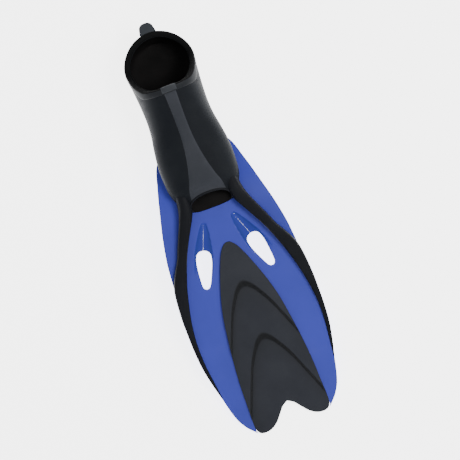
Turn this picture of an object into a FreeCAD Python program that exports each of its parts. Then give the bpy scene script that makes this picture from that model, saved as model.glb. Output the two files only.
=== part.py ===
# Full-foot swim fin: a stiff blade with a soft foot pocket, side rails and centre panel moulded onto it.
# Two frames meet at the blade root, on the underside of the plate: the blade frame runs along +Y to the
# tip, and the foot frame is bent down from it and runs along -Y to the heel. The fin rests on its heel
# pad and on the tip of the blade, with the root raised between them.
import FreeCAD, Part
import math
import os
from FreeCAD import Placement, Rotation, Vector

doc = FreeCAD.newDocument("SwimFin")

# ---------------------------------------------------------------- driving dimensions (mm, degrees)
DIMENSIONS = [
    ("bend_angle", 20.0),          # between the sole and the blade
    ("bend_radius", 150.0),        # underside of the plate where it bends
    # blade
    ("blade_length", 329.0),       # root to the end of the tip lobes
    ("blade_width", 197.0),        # at its widest
    ("root_width", 148.0),         # across the wings beside the toes
    ("tip_width", 108.0),          # across the corners of the tip
    ("root_thickness", 5.0),
    ("tip_thickness", 2.2),
    ("foot_plate_length", 150.0),  # plate that runs on under the foot
    ("foot_plate_width", 76.0),
    # soft centre panel
    ("panel_start", 53.0),         # its point, from the root
    ("panel_width", 113.0),        # at the trailing edge
    ("notch_depth", 33.0),         # of the fishtail
    ("panel_height", 8.4),         # first field above the underside
    ("panel_step", 2.8),           # each chevron steps down by this
    ("panel_crown", 1.5),          # how far a field falls away to its sides
    ("first_chevron", 115.0),      # points of the two chevrons, from the root
    ("second_chevron", 196.0),
    # vents and scoops
    ("vent_start", 54.0),
    ("vent_end", 111.0),
    ("vent_width", 24.0),          # across the round end
    ("vent_offset", 37.0),         # middle of the round end from the centre line
    ("vent_splay", 15.0),          # outward shift of the pointed end
    ("scoop_start", 15.0),
    ("scoop_offset", 21.0),        # point of the scoop from the centre line
    ("scoop_depth", 4.2),
    # side rails
    ("rail_height", 21.0),         # top of the root above the underside of the plate
    ("rail_drop", 6.0),            # root below the underside
    ("rail_cover", 3.2),           # rubber outside the plate's edge
    ("rail_end", 261.0),
    # foot pocket
    ("foot_length", 250.5),        # root to the back of the heel
    ("wall", 4.0),
    ("floor", 3.0),
    ("heel_width", 100.0),
    ("arch_width", 92.0),
    ("ball_width", 108.0),
    ("front_width", 62.0),         # across the toe opening, outside
    ("heel_round", 45.0),          # length over which the heel rounds in
    ("arch_station", 140.0),       # behind the root
    ("ball_station", 58.0),
    ("ankle_height", 92.0),
    ("collar_height", 84.0),       # instep at the front of the ankle opening
    ("arch_height", 70.0),
    ("ball_height", 47.0),
    ("front_height", 29.0),
    ("toe_setback", 20.0),         # upper lip behind the lower one
    # trim of the pocket
    ("trim_thickness", 1.2),       # collar, instep panel and toe rim stand this far proud
    ("collar_band", 11.0),
    ("rim_back", 64.0),            # height of the ankle rim at the heel
    ("rim_side", 52.0),
    ("toe_rim_band", 2.5),         # bead ahead of the toe opening's edge
    ("instep_narrow", 22.0),
    ("instep_wide", 56.0),
    ("badge_width", 22.0),
    ("badge_thickness", 1.0),
    ("tab_length", 19.0),
    ("tab_root_width", 24.0),
    ("tab_end_width", 16.0),
    ("tab_thickness", 4.0),
    # outsole
    ("sole_thickness", 3.5),       # below the plate
    ("sole_margin", 7.0),          # the sole is this much narrower than the pocket, each side
    ("heel_drop", 1.0),            # sole at the back of the heel, below the plate's underside
    ("heel_pad_length", 34.0),
    ("tread_pitch", 11.0),
    ("tread_width", 3.0),
    ("tread_depth", 1.6),
]

sheet = doc.addObject("Spreadsheet::Sheet", "Sizes")
for row, (alias, value) in enumerate(DIMENSIONS, start=1):
    sheet.set("A%d" % row, alias)
    sheet.set("B%d" % row, str(value))
    sheet.setAlias("B%d" % row, alias)
doc.recompute()


def size(alias):
    return float(sheet.get(alias))


# ---------------------------------------------------------------- how the fin rests
def sole_tilt():
    """Angle of the sole when the heel pad and the blade's tip both touch the floor."""
    bend = math.radians(size("bend_angle"))
    rise = size("blade_length") * math.sin(bend) - size("heel_drop")
    run = size("foot_length") + size("blade_length") * math.cos(bend)
    return math.degrees(math.atan(rise / run))


SOLE_TILT = sole_tilt()
BLADE_TILT = size("bend_angle") - SOLE_TILT
ROOT_HEIGHT = size("blade_length") * math.sin(math.radians(BLADE_TILT))
TAB_LEVEL = size("rim_back") - size("tab_thickness")


def plan_y(y, z, tilt):
    """Length on the floor of a point of a tilted frame."""
    return y * math.cos(math.radians(tilt)) - z * math.sin(math.radians(tilt))


TIP_Y = plan_y(size("blade_length"), size("tip_thickness"), -BLADE_TILT)
TAB_Y = plan_y(-size("foot_length") - size("tab_length"), TAB_LEVEL + size("tab_thickness"), SOLE_TILT)
ROOT = Vector(0, -(TIP_Y + TAB_Y) / 2, ROOT_HEIGHT)
BLADE_FRAME = Placement(ROOT, Rotation(Vector(1, 0, 0), -BLADE_TILT))
FOOT_FRAME = Placement(ROOT, Rotation(Vector(1, 0, 0), SOLE_TILT))


# ---------------------------------------------------------------- sketching helpers
ARC_TOLERANCE = 0.2


def new_body(name, frame):
    body = doc.addObject("PartDesign::Body", name)
    body.Placement = frame
    return body


def new_sketch(body, role, name, offset=0.0, tilt=0.0):
    """A sketch on one of the body's own origin planes, moved along its normal and leant back."""
    sketch = body.newObject("Sketcher::SketchObject", name)
    support = [plane for plane in body.Origin.OriginFeatures if plane.Role == role]
    sketch.AttachmentSupport = [(support[0], "")]
    sketch.MapMode = "FlatFace"
    sketch.AttachmentOffset = Placement(Vector(0, 0, offset), Rotation(Vector(1, 0, 0), tilt))
    return sketch


def draw_polygon(sketch, corners):
    points = [Vector(x, y, 0) for x, y in corners]
    for start, end in zip(points, points[1:] + points[:1]):
        sketch.addGeometry(Part.LineSegment(start, end))


def draw_curve(sketch, corners, closed=False):
    """A smooth curve through the corners, as arcs that run into one another."""
    curve = Part.BSplineCurve()
    curve.interpolate(Points=[Vector(x, y, 0) for x, y in corners], PeriodicFlag=closed)
    for arc in curve.toBiArcs(ARC_TOLERANCE):
        sketch.addGeometry(arc)


def draw_line(sketch, start, end):
    sketch.addGeometry(Part.LineSegment(Vector(start[0], start[1], 0), Vector(end[0], end[1], 0)))


def draw_rounded(sketch, corners, radii):
    """A closed polygon whose corners are arcs of the given radii."""
    points = [Vector(x, y, 0) for x, y in corners]
    ends = []
    for index, corner in enumerate(points):
        before = (points[index - 1] - corner).normalize()
        after = (points[(index + 1) % len(points)] - corner).normalize()
        half = before.getAngle(after) / 2
        reach = radii[index] / math.tan(half)
        middle = (before + after).normalize() * (radii[index] / math.sin(half) - radii[index])
        first = corner + before * reach
        last = corner + after * reach
        draw_arc(sketch, first, corner + middle, last)
        ends.append((first, last))
    for index, (first, last) in enumerate(ends):
        following = ends[(index + 1) % len(ends)][0]
        sketch.addGeometry(Part.LineSegment(last, following))


def draw_arc(sketch, start, middle, end):
    arc = Part.Arc(start, middle, end).toShape()
    sketch.addGeometry(arc.Curve.trim(*arc.ParameterRange))


def pad(body, sketch, length, name, symmetric=True):
    """A pad whose length is an expression on the sheet."""
    feature = body.newObject("PartDesign::Pad", name)
    feature.Profile = sketch
    feature.SideType = "Symmetric" if symmetric else "One side"
    feature.setExpression("Length", length)
    return feature


def pocket(body, sketch, name):
    """Cut right through the body, both ways from the sketch."""
    feature = body.newObject("PartDesign::Pocket", name)
    feature.Profile = sketch
    feature.Type = "ThroughAll"
    feature.SideType = "Symmetric"
    return feature


def trim_to(body, name, draw_outline):
    """Cut away everything outside a plan outline."""
    sketch = new_sketch(body, "XY_Plane", name + "_outline")
    wide = size("blade_width")
    long_way = 2 * size("blade_length")
    draw_polygon(sketch, [(-wide, -long_way), (wide, -long_way), (wide, long_way), (-wide, long_way)])
    draw_outline(sketch)
    return pocket(body, sketch, name)


def boolean(kind, name, base, tool):
    feature = doc.addObject("Part::" + kind, name)
    feature.Base = base
    feature.Tool = tool
    return feature


def mirrored(points):
    """The points, and their mirror images back on the other side of the centre line."""
    return points + [(-x, y) for x, y in reversed(points) if x != 0]


def section_of_flats(half_width, bottom, top, shoulder, squareness, centre=0.0, count=20):
    """A closed section of flats round a rounded form: full below the shoulder, arched above it."""
    section = []
    first = math.pi / count
    for step in range(count):
        angle = first + 2 * math.pi * step / count
        across = math.cos(angle)
        up = math.sin(angle)
        reach = top - shoulder if up > 0 else shoulder - bottom
        power = 2 / (squareness[0] if up > 0 else squareness[1])
        outward = math.cos(first) ** power
        x = centre + half_width * math.copysign(abs(across) ** power, across) / outward
        z = shoulder + reach * math.copysign(abs(up) ** power, up) / outward
        section.append((x, z))
    return section


def loft(body, stations, name, kind="PartDesign::AdditiveLoft"):
    """A loft through (y, section, tilt) stations; a tilted plane leans back from its foot."""
    sketches = []
    for number, (y, section, tilt) in enumerate(stations):
        sketch = new_sketch(body, "XZ_Plane", "%s_%d" % (name, number), -y, tilt)
        lean = math.cos(math.radians(tilt))
        draw_polygon(sketch, [(x, z / lean) for x, z in section])
        sketches.append(sketch)
    feature = body.newObject(kind, name)
    feature.Profile = sketches[0]
    feature.Sections = sketches[1:]
    return feature


# ---------------------------------------------------------------- outlines shared by several pieces
def blade_edge():
    """Edge of the stiff blade on the +X side, from beside the foot to the corner of the tip."""
    half = size("blade_width") / 2
    cover = size("rail_cover")
    length = size("blade_length")
    return [
        (0.73 * size("root_width") / 2, -0.25 * length),
        (size("root_width") / 2, -0.05 * length),
        (0.91 * half, 0.16 * length),
        (half - cover - 2.0, 0.305 * length),
        (half - cover, 0.47 * length),
        (half - 9.0, 0.705 * length),
        (half - 22.0, 0.897 * length),
        (size("tip_width") / 2 + 8.5, 0.966 * length),
        (size("tip_width") / 2 + 1.0, 0.989 * length),
    ]


def panel_edge():
    """Edge of the centre panel on the +X side, from its point to the trailing corner."""
    half = size("panel_width") / 2
    start = size("panel_start")
    run = size("blade_length") - start
    return [
        (0.0, start),
        (0.24 * half, start + 0.045 * run),
        (0.63 * half, start + 0.257 * run),
        (0.90 * half, start + 0.57 * run),
        (0.98 * half, start + 0.85 * run),
        (half, start + 0.97 * run),
    ]


def fishtail():
    """Trailing edge from the panel's corner round one lobe to the notch on the centre line."""
    half = size("panel_width") / 2
    end = size("blade_length")
    notch = size("notch_depth")
    return [panel_edge()[-1], (0.75 * half, end), (0.41 * half, end - 0.3 * notch),
            (0.13 * half, end - 0.88 * notch), (0.0, end - notch)]


# ---------------------------------------------------------------- blade
def make_blade():
    body = new_body("BladeBody", BLADE_FRAME)
    bend = math.radians(size("bend_angle"))
    radius = size("bend_radius")
    thick = size("root_thickness")
    reach = radius * math.tan(bend / 2)
    centre = Vector(reach, -radius, 0)
    back = Vector(-math.cos(bend), -math.sin(bend), 0)
    up = Vector(-math.sin(bend), math.cos(bend), 0)

    profile = new_sketch(body, "YZ_Plane", "blade_profile")
    sides = []
    for height in (0.0, thick):
        start = Vector(reach, height, 0)
        middle = centre + Vector(-math.sin(bend / 2), math.cos(bend / 2), 0) * (radius + height)
        end = back * reach + up * height
        draw_arc(profile, start, middle, end)
        sides.append((start, end))
    tip = size("blade_length") + 10.0
    foot_end = back * size("foot_plate_length")
    corners = [sides[0][0], Vector(tip, 0, 0), Vector(tip, size("tip_thickness"), 0),
               Vector(size("vent_end") + 5.0, 0.76 * thick, 0), Vector(size("vent_start"), thick, 0), sides[1][0]]
    for first, last in zip(corners, corners[1:]):
        profile.addGeometry(Part.LineSegment(first, last))
    corners = [sides[0][1], foot_end, foot_end + up * thick, sides[1][1]]
    for first, last in zip(corners, corners[1:]):
        profile.addGeometry(Part.LineSegment(first, last))
    pad(body, profile, "Sizes.blade_width + 20", "blade_plate")
    trim_to(body, "blade_trim", draw_blade_outline)

    slot = new_sketch(body, "XY_Plane", "panel_slot")
    draw_panel_outline(slot)
    pocket(body, slot, "panel_slot_cut")
    for side in (1, -1):
        make_scoop_and_vent(body, side)
    return body


def draw_blade_outline(sketch):
    edge = blade_edge()
    tail = fishtail()
    half = size("foot_plate_width") / 2
    length = size("foot_plate_length")
    foot = [(half, -0.67 * length), (half, -0.83 * length), (0.53 * half, -0.96 * length)]
    draw_curve(sketch, edge)
    draw_curve(sketch, [(-x, y) for x, y in edge])
    draw_line(sketch, edge[-1], tail[0])
    draw_line(sketch, (-edge[-1][0], edge[-1][1]), (-tail[0][0], tail[0][1]))
    draw_curve(sketch, mirrored(tail))
    draw_curve(sketch, [edge[0]] + foot)
    draw_curve(sketch, [(-x, y) for x, y in [edge[0]] + foot])
    draw_line(sketch, foot[-1], (-foot[-1][0], foot[-1][1]))


def make_scoop_and_vent(body, side):
    """A spoon-shaped recess that deepens towards the vent, and the vent cut through at its wide end."""
    name = "left" if side < 0 else "right"
    thick = size("root_thickness")
    start = size("scoop_start")
    mouth = size("vent_start") + 4.0
    wide = size("vent_width") / 2
    shift = size("vent_offset") - size("scoop_offset")
    stations = []
    for share, depth in ((0.0, 0.1), (0.35, 0.5), (0.7, 0.85), (1.0, 1.0), (1.4, 0.5), (1.6, 0.1)):
        half = 1.0 + wide * min(share, 1.0) ** 0.8
        low = thick - size("scoop_depth") * depth
        middle = side * (size("scoop_offset") + shift * share)
        section = section_of_flats(half, low, 2 * thick - low, thick, (2, 2), middle, 8)
        stations.append((start + (mouth - start) * share, section, 0.0))
    loft(body, stations, name + "_scoop", "PartDesign::SubtractiveLoft")

    vent = new_sketch(body, "XY_Plane", name + "_vent")
    first = size("vent_start")
    last = size("vent_end")
    near = size("vent_offset")
    far = near + size("vent_splay")
    tip = 0.3 * wide
    draw_rounded(vent, [(side * (near - wide), first - 1.5), (side * (near + wide), first + 1.5),
                        (side * (far + tip), last), (side * (far - tip), last)],
                 [0.72 * wide, 0.72 * wide, 0.8 * tip, 0.8 * tip])
    pocket(body, vent, name + "_vent_cut")


def draw_panel_outline(sketch):
    edge = panel_edge()
    draw_curve(sketch, list(reversed([(-x, y) for x, y in edge])) + edge[1:])
    draw_curve(sketch, mirrored(fishtail()))


# ---------------------------------------------------------------- centre panel
def make_panel():
    """The soft panel: three crowned fields that step down towards the tip at two chevrons."""
    fields = []
    half = size("panel_width") / 2
    length = size("blade_length")
    for number, apex in enumerate((size("first_chevron"), size("second_chevron"), None)):
        body = new_body("PanelField%d" % number, BLADE_FRAME)
        top = size("panel_height") - number * size("panel_step")
        side = top - size("panel_crown")
        section = new_sketch(body, "XZ_Plane", "field_section_%d" % number, -size("panel_start") + 5.0)
        wide = half + 5.0
        draw_line(section, (-wide, 0.0), (wide, 0.0))
        draw_line(section, (wide, 0.0), (wide, side))
        draw_arc(section, Vector(wide, side, 0), Vector(0, top, 0), Vector(-wide, side, 0))
        draw_line(section, (-wide, side), (-wide, 0.0))
        slab = pad(body, section, "Sizes.blade_length", "field_slab_%d" % number, symmetric=False)
        slab.Reversed = True
        trim_to(body, "field_trim_%d" % number, draw_panel_outline)
        if apex:
            step = new_sketch(body, "XY_Plane", "field_step_%d" % number)
            rise = length / 329.0
            corner = (1.06 * half, apex + 0.5 * apex * rise + 0.1 * length)
            legs = [(0.0, apex), (0.23 * half, apex + 9.5 * rise), (0.5 * half, apex + 35.0 * rise),
                    (0.71 * half, apex + 64.0 * rise), corner]
            far = 1.1 * length
            draw_curve(step, list(reversed([(-x, y) for x, y in legs])) + legs[1:])
            draw_line(step, corner, (corner[0], far))
            draw_line(step, (corner[0], far), (-corner[0], far))
            draw_line(step, (-corner[0], far), (-corner[0], corner[1]))
            pocket(body, step, "field_step_cut_%d" % number)
        fields.append(body)
    panel = doc.addObject("Part::MultiFuse", "CentrePanel")
    panel.Shapes = fields
    panel.Refine = True
    return panel


# ---------------------------------------------------------------- side rails
def make_rail(blade, pocket_form, rim):
    """The rubber rail on the -X edge of the blade, moulded round its edge and against the pocket."""
    body = new_body("LeftRailBody", BLADE_FRAME)
    half = size("blade_width") / 2
    height = size("rail_height")
    drop = size("rail_drop")
    length = size("blade_length")
    end = size("rail_end") / length
    # share of the blade's length, inner and outer edge as shares of its half width, share of the height
    course = [
        (-0.073, 0.29, 0.45, 1.04),
        (0.018, 0.37, 0.54, 1.0),
        (0.109, 0.53, 0.69, 0.88),
        (0.200, 0.66, 0.85, 0.77),
        (0.298, 0.77, 0.965, 0.67),
        (0.407, 0.86, 0.997, 0.55),
        (0.553, 0.92, 0.996, 0.41),
        (0.699, 0.90, 0.95, 0.26),
        (end, 0.87, 0.884, 0.15),
    ]
    stations = []
    for along, inner, outer, rise in course:
        middle = -half * (inner + outer) / 2
        wide = half * (outer - inner) / 2
        top = height * rise
        bottom = -drop * max(rise, 0.2) + 0.3
        section = section_of_flats(wide, bottom, top, (top + bottom) / 2, (3.6, 3.0), middle, 8)
        stations.append((along * length, section, 0.0))
    loft(body, stations, "left_rail_loft")
    beside = boolean("Cut", "LeftRailOverPocket", body, pocket_form)
    ahead = boolean("Cut", "LeftRailOverRim", beside, rim)
    return boolean("Cut", "LeftRail", ahead, blade)


# ---------------------------------------------------------------- foot pocket
LIP_TILT = math.degrees(math.atan(size("toe_setback") / size("front_height")))
TOE_FOOT = 3.0      # foot of the toe opening's slanted plane, from the root


def foot_body(name, inset, low, heel_top, run_on=0.0):
    """The pocket's form with its skin moved in by the inset, from the heel to the slanted toe opening."""
    body = new_body(name, FOOT_FRAME)
    stations = []
    heel_round = size("heel_round")
    middle = size("foot_length") - heel_round
    for angle in (12, 32, 58, 90):
        turn = math.radians(angle)
        y = -middle - (heel_round - inset) * math.cos(turn)
        half = (size("heel_width") / 2 - inset) * math.sin(turn)
        bottom = low + 12.0 * (1 - math.sin(turn))
        shoulder = 0.39 * size("ankle_height")
        stations.append((y, section_of_flats(half, bottom, heel_top, shoulder, (2.7, 3.4)), 0.0))
    arch = size("arch_station")
    ball = size("ball_station")
    front = size("front_width")
    mid_width = (size("arch_width") + size("ball_width")) / 2 + 1.5
    mid_height = (size("arch_height") + size("ball_height")) / 2 - 1.0
    toe_height = size("front_height")
    # station at the sole, width, height, height of the widest place, share of the toe opening's slant
    spans = [
        (-1.19 * arch, size("arch_width") + 2.0, size("collar_height"), 30.0, 0.0),
        (-arch, size("arch_width"), size("arch_height"), 27.0, 0.0),
        (-(arch + ball) / 2, mid_width, mid_height, 23.0, 0.0),
        (-ball, size("ball_width"), size("ball_height"), 18.0, 0.0),
        (-0.55 * ball, size("ball_width") - 4.0, (size("ball_height") + toe_height) / 2 + 2.0, 15.0, 0.15),
        (-0.24 * ball, (size("ball_width") + front) / 2 + 6.0, toe_height + 6.0, 13.0, 0.5),
        (-0.07 * ball, front + 13.0, toe_height + 2.5, 12.0, 0.8),
        (TOE_FOOT, front, toe_height, 12.0, 1.0),
    ]
    if run_on:
        spans.append((TOE_FOOT + run_on, front, toe_height, 12.0, 1.0))
    for y, width, height, shoulder, slant in spans:
        section = section_of_flats(width / 2 - inset, low, height - inset, shoulder, (2.3, 3.4))
        stations.append((y, section, slant * LIP_TILT))
    surface = loft(body, stations, name + "_loft")
    surface.Ruled = bool(run_on)
    return body


def grown_form(name, grow):
    """The outside of the pocket, thickened by the grown layer."""
    low = size("root_thickness") - 3.5
    return foot_body(name, -grow, low - grow, size("ankle_height") + grow)


def side_band(name, low_line):
    """Everything above a line in the side view, right across the pocket."""
    body = new_body(name, FOOT_FRAME)
    profile = new_sketch(body, "YZ_Plane", name + "_profile")
    sky = 3 * size("ankle_height")
    first, last = low_line[0], low_line[-1]
    draw_curve(profile, low_line)
    draw_line(profile, first, (first[0], sky))
    draw_line(profile, (first[0], sky), (last[0], sky))
    draw_line(profile, (last[0], sky), last)
    pad(body, profile, "Sizes.blade_width", name + "_pad")
    return body


def rim_line(lower):
    """Rim of the ankle opening seen from the side, lowered by the collar's band where asked."""
    back = -size("foot_length")
    front = -1.243 * size("arch_station")
    drop = size("collar_band") * lower
    return [
        (back - 30.0, size("rim_back") + 6.0 - drop * 0.6),
        (back + 4.0, size("rim_back") - drop * 0.6),
        (back + 38.0, size("rim_side") - drop * 0.6),
        (front - 12.0 + drop * 0.5, size("collar_height") - 13.0 - drop * 0.9),
        (front + 6.0 + drop, size("collar_height") + 7.0 - drop * 0.4),
        (front + 20.0 + drop, size("collar_height") + 30.0),
    ]


def upper_prism(name, corners):
    """A plan outline made solid above the sides of the pocket, so that it takes only its upper skin."""
    body = new_body(name, FOOT_FRAME)
    outline = new_sketch(body, "XY_Plane", name + "_outline", size("front_height") / 2)
    draw_polygon(outline, corners)
    pad(body, outline, "2 * Sizes.ankle_height", name + "_pad", symmetric=False)
    return body


# ---------------------------------------------------------------- trim of the pocket
def rim_form():
    """Solid outline of the bead round the toe opening, ahead of the pocket's slanted front."""
    body = new_body("ToeRimForm", FOOT_FRAME)
    proud = size("trim_thickness")
    low = size("root_thickness") - 3.5 - proud
    half = size("front_width") / 2 + proud
    section = section_of_flats(half, low, size("front_height") + proud, 12.0, (2.3, 3.4))
    ends = [(TOE_FOOT, section, LIP_TILT), (TOE_FOOT + size("toe_rim_band"), section, LIP_TILT)]
    bead = loft(body, ends, "toe_rim_loft")
    bead.Ruled = True
    return body


def make_tab(pocket_form):
    """Pull tab at the back of the heel, moulded onto the collar."""
    body = new_body("HeelTabBody", FOOT_FRAME)
    heel = -size("foot_length")
    end = heel - size("tab_length")
    outline = new_sketch(body, "XY_Plane", "tab_outline", TAB_LEVEL)
    root = size("tab_root_width") / 2
    tip = size("tab_end_width") / 2
    inside = heel + size("tab_root_width") / 2
    draw_rounded(outline, [(root + 3.0, inside), (tip, end), (-tip, end), (-root - 3.0, inside)],
                 [2.0, 0.85 * tip, 0.85 * tip, 2.0])
    pad(body, outline, "Sizes.tab_thickness", "tab_pad", symmetric=False)
    return boolean("Cut", "HeelTab", body, pocket_form)


def make_badge(skin_form, badge_form, above_rim, above_seam):
    """Bare raised plate on the front of the collar."""
    half = size("badge_width") / 2
    back = -1.257 * size("arch_station")
    front = back + size("collar_band")
    slab = upper_prism("BadgePrism", [(-half, back), (half, back), (half, front), (-half, front)])
    plate = boolean("Cut", "BadgeSkin", badge_form, skin_form)
    clipped = boolean("Cut", "BadgeClipped", plate, above_rim)
    below = boolean("Common", "BadgeBand", clipped, above_seam)
    return boolean("Common", "CollarBadge", below, slab)


# ---------------------------------------------------------------- outsole
def make_outsole(blade, pocket_form):
    """Sole under the plate, with cross grooves and a flat pad under the heel that meets the floor."""
    body = new_body("OutsoleBody", FOOT_FRAME)
    back = -size("foot_length")
    low = -size("sole_thickness")
    slope = math.tan(math.radians(SOLE_TILT))
    pad_front = back + size("heel_pad_length")
    top = size("root_thickness") - 1.5
    front = -0.45 * size("ball_station")
    profile = new_sketch(body, "YZ_Plane", "sole_profile")
    draw_polygon(profile, [(back, -size("heel_drop")), (back, top + 10.0), (front, top), (front + 6.0, low),
                           (pad_front + 8.0, low), (pad_front, -size("heel_drop") - size("heel_pad_length") * slope)])
    pad(body, profile, "Sizes.blade_width", "sole_slab")
    trim_to(body, "sole_trim", draw_sole_outline)

    groove = new_sketch(body, "YZ_Plane", "tread_groove")
    first = pad_front + 14.0
    depth = low + size("tread_depth")
    width = size("tread_width")
    draw_polygon(groove, [(first, low - 5.0), (first + width, low - 5.0), (first + width, depth), (first, depth)])
    cut = pocket(body, groove, "tread_cut")
    tread = body.newObject("PartDesign::LinearPattern", "tread")
    tread.Originals = [cut]
    tread.Direction = (groove, ["H_Axis"])
    tread.Occurrences = int((front - 8.0 - first) / size("tread_pitch"))
    tread.setExpression("Length", "Sizes.tread_pitch * %d" % (tread.Occurrences - 1))
    body.Tip = tread
    above_plate = boolean("Cut", "OutsoleUnderPocket", body, pocket_form)
    return boolean("Cut", "Outsole", above_plate, blade)


def draw_sole_outline(sketch):
    margin = size("sole_margin")
    back = -size("foot_length")
    heel = size("heel_width") / 2 - margin
    side = [
        (0.65 * heel, back + 0.22 * size("heel_round")),
        (heel, back + size("heel_round")),
        (size("arch_width") / 2 - margin, -size("arch_station")),
        (size("ball_width") / 2 - margin, -size("ball_station")),
        (0.78 * size("ball_width") / 2, -0.31 * size("ball_station")),
    ]
    draw_curve(sketch, [(-x, y) for x, y in reversed(side)] + [(0.0, back + 1.0)] + side)
    draw_line(sketch, side[-1], (-side[-1][0], side[-1][1]))


# ---------------------------------------------------------------- assembly
blade = make_blade()
panel = make_panel()
form = grown_form("PocketForm", 0.0)
trim_form = grown_form("TrimForm", size("trim_thickness"))
badge_form = grown_form("BadgeForm", size("trim_thickness") + size("badge_thickness"))
cavity = foot_body("FootCavity", size("wall"), size("root_thickness") + size("floor"),
                   size("ankle_height") + 6.0, run_on=12.0)
above_rim = side_band("AboveRim", rim_line(0))
above_seam = side_band("AboveSeam", rim_line(1))
rim_solid = rim_form()

walls = boolean("Cut", "PocketWalls", form, cavity)
opened = boolean("Cut", "PocketAnkle", walls, above_seam)
foot_pocket = boolean("Cut", "FootPocket", opened, blade)

collar_shell = boolean("Cut", "CollarShell", trim_form, cavity)
collar_band = boolean("Common", "CollarBand", collar_shell, above_seam)
ankle_collar = boolean("Cut", "AnkleCollar", collar_band, above_rim)

skin = boolean("Cut", "TrimSkin", trim_form, form)
skin_low = boolean("Cut", "TrimSkinLow", skin, above_seam)
narrow = size("instep_narrow") / 2
wide = size("instep_wide") / 2
instep_side = [(narrow, -1.3 * size("arch_station")), (narrow - 3.0, -0.75 * size("arch_station")),
               (narrow + 3.0, -size("ball_station")), (wide, 0.0)]
instep_prism = upper_prism("InstepPrism", mirrored(instep_side))
instep_panel = boolean("Common", "InstepPanel", skin_low, instep_prism)

rim_ring = boolean("Cut", "ToeRimRing", rim_solid, cavity)
toe_rim = boolean("Cut", "ToeRim", rim_ring, blade)

left_rail = make_rail(blade, trim_form, rim_solid)
right_rail = doc.addObject("Part::Mirroring", "RightRail")
right_rail.Source = left_rail
right_rail.Normal = Vector(1, 0, 0)
heel_tab = make_tab(trim_form)
collar_badge = make_badge(trim_form, badge_form, above_rim, above_seam)
outsole = make_outsole(blade, form)

SUB_PARTS = {
    "blade": blade,
    "centre_panel": panel,
    "left_rail": left_rail,
    "right_rail": right_rail,
    "foot_pocket": foot_pocket,
    "ankle_collar": ankle_collar,
    "instep_panel": instep_panel,
    "toe_rim": toe_rim,
    "heel_tab": heel_tab,
    "collar_badge": collar_badge,
    "outsole": outsole,
}
for label, piece in SUB_PARTS.items():
    piece.Label = label
doc.recompute()

# ---------------------------------------------------------------- checks and files
for item in doc.Objects:
    if "Invalid" in item.State or "Error" in item.State:
        raise RuntimeError("%s failed: %s" % (item.Name, item.State))

os.makedirs("parts", exist_ok=True)
for label, piece in SUB_PARTS.items():
    if piece.Shape.isNull() or not piece.Shape.isValid() or not piece.Shape.Solids:
        raise RuntimeError("%s has no valid solid" % label)
    print(label, len(piece.Shape.Solids), round(piece.Shape.Volume), piece.Shape.BoundBox)
for label, piece in SUB_PARTS.items():
    piece.Shape.exportStep("parts/%s.step" % label)
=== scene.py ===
import bpy
import math
from mathutils import Matrix, Vector


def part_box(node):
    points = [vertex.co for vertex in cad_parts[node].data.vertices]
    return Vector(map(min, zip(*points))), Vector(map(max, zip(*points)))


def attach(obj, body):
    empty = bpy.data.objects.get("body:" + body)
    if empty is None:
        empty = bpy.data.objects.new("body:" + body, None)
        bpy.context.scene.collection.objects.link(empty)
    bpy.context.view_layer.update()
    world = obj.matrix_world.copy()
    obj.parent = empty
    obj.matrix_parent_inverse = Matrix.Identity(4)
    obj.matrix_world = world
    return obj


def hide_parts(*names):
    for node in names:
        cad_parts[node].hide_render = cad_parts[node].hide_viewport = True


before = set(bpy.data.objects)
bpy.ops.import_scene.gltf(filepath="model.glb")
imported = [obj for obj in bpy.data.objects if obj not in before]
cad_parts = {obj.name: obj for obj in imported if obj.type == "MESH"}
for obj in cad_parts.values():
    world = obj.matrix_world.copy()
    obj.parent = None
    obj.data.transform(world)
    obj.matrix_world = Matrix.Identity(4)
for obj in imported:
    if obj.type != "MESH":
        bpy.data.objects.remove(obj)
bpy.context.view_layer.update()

# ---------------------------------------------------------------- blade
# The stiff blade is one injection moulding in blue polypropylene: a plate 5 mm thick at the root and
# 2 mm at the tip, bent down under the foot, with wings beside the toes and two vents behind scoops.
# Two frames meet at its root: the blade's runs along +Y to the tip, the foot's along -Y to the heel.
blade_length = 0.329
foot_length = 0.2505
root_thickness = 0.005
tip_thickness = 0.0022
bend_radius = 0.150
bend_angle = math.radians(20.0)
heel_drop = 0.001
sole_slope = math.atan((blade_length * math.sin(bend_angle) - heel_drop)
                       / (foot_length + blade_length * math.cos(bend_angle)))
blade_slope = bend_angle - sole_slope
bend_start = bend_radius * math.tan(bend_angle / 2)
tip_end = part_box("centre_panel")[1].y
root = Vector((0.0, tip_end - blade_length * math.cos(blade_slope), blade_length * math.sin(blade_slope)))
blade_frame = Matrix.Translation(root) @ Matrix.Rotation(-blade_slope, 4, "X")
foot_frame = Matrix.Translation(root) @ Matrix.Rotation(sole_slope, 4, "X")


def curve_through(points, count):
    """Evenly spaced points along a smooth curve through the given ones."""
    given = [Vector(point) for point in points]
    knots = [0.0]
    for first, last in zip(given, given[1:]):
        knots.append(knots[-1] + (last - first).length)
    slopes = []
    for index in range(len(given)):
        low, high = max(index - 1, 0), min(index + 1, len(given) - 1)
        slopes.append((given[high] - given[low]) / (knots[high] - knots[low]))
    line = []
    span = 0
    for step in range(count):
        at = knots[-1] * step / (count - 1)
        while span < len(given) - 2 and at > knots[span + 1]:
            span += 1
        length = knots[span + 1] - knots[span]
        share = (at - knots[span]) / length
        start, end = given[span], given[span + 1]
        line.append(start * (2 * share ** 3 - 3 * share ** 2 + 1) + end * (3 * share ** 2 - 2 * share ** 3)
                    + slopes[span] * length * (share ** 3 - 2 * share ** 2 + share)
                    + slopes[span + 1] * length * (share ** 3 - share ** 2))
    return line


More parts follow.
